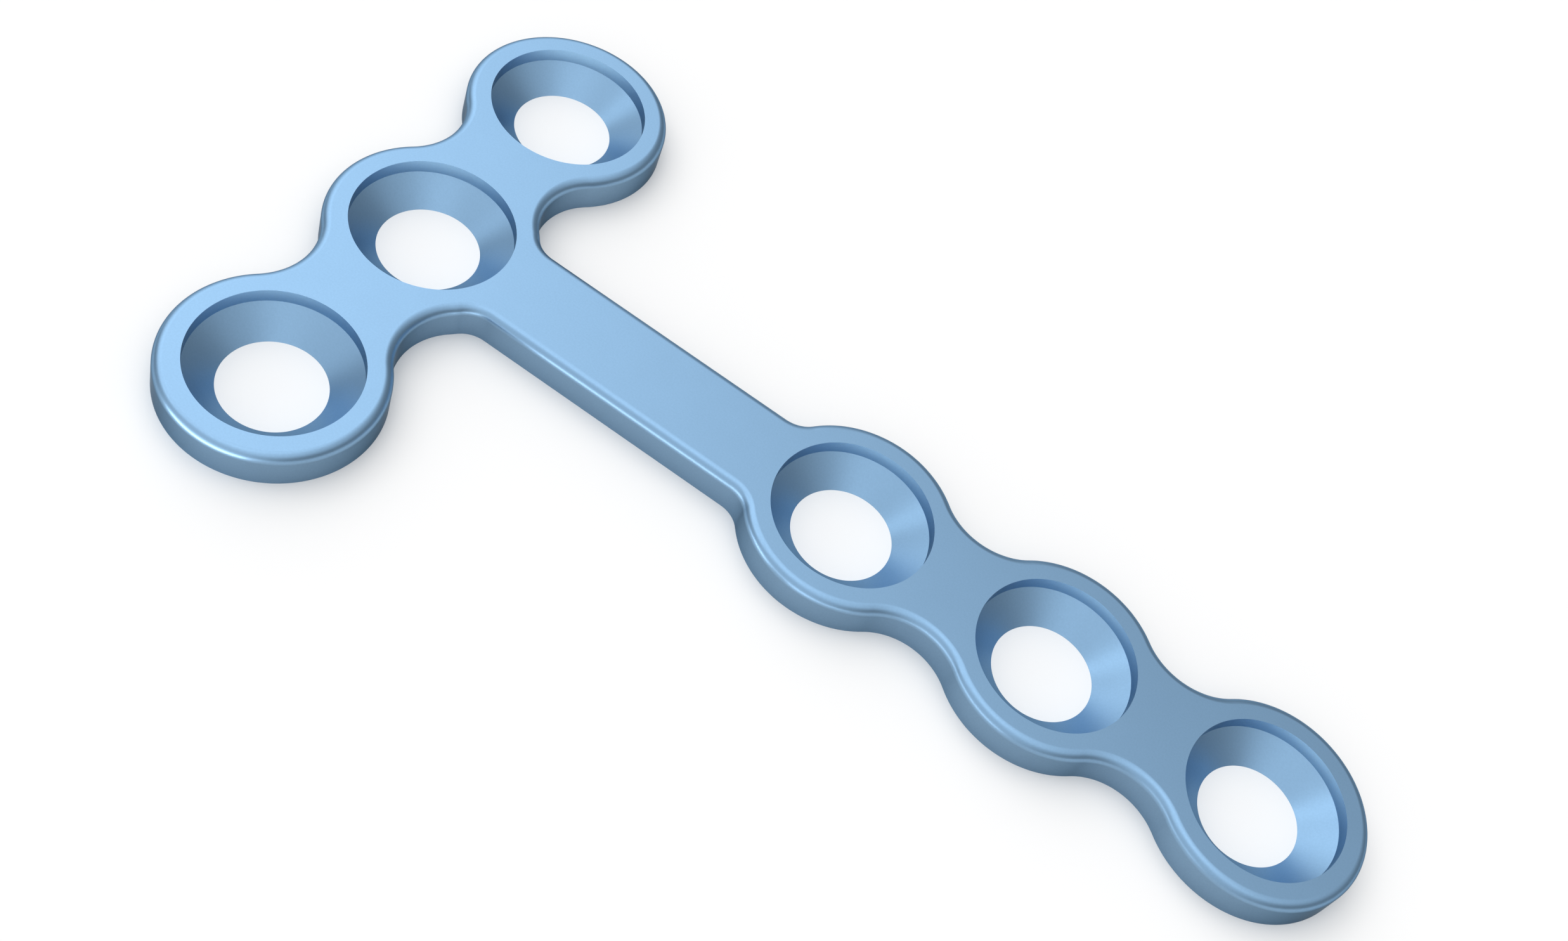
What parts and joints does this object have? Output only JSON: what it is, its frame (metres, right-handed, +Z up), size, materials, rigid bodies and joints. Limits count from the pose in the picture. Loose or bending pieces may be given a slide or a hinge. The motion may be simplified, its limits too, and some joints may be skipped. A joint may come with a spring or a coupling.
{
  "type": "t-plate",
  "caption": "Thin flat T-shaped bone plate: rings with countersunk screw holes across the head and along the shaft, joined by a plain bar.",
  "frame": {"origin": "under the middle of the overall length and width, in the plane of the underside", "axes": "+X along the shaft away from the head, +Y across the head, +Z up through the thickness to the side with the screw recesses"},
  "size_m": [0.0308, 0.0178, 0.001],
  "materials": {
    "anodised_titanium": "satin, fine blasted grain under a pale blue anodised film"
  },
  "bodies": {
    "root": {"t_plate": "anodised_titanium"}
  },
  "joints": []
}
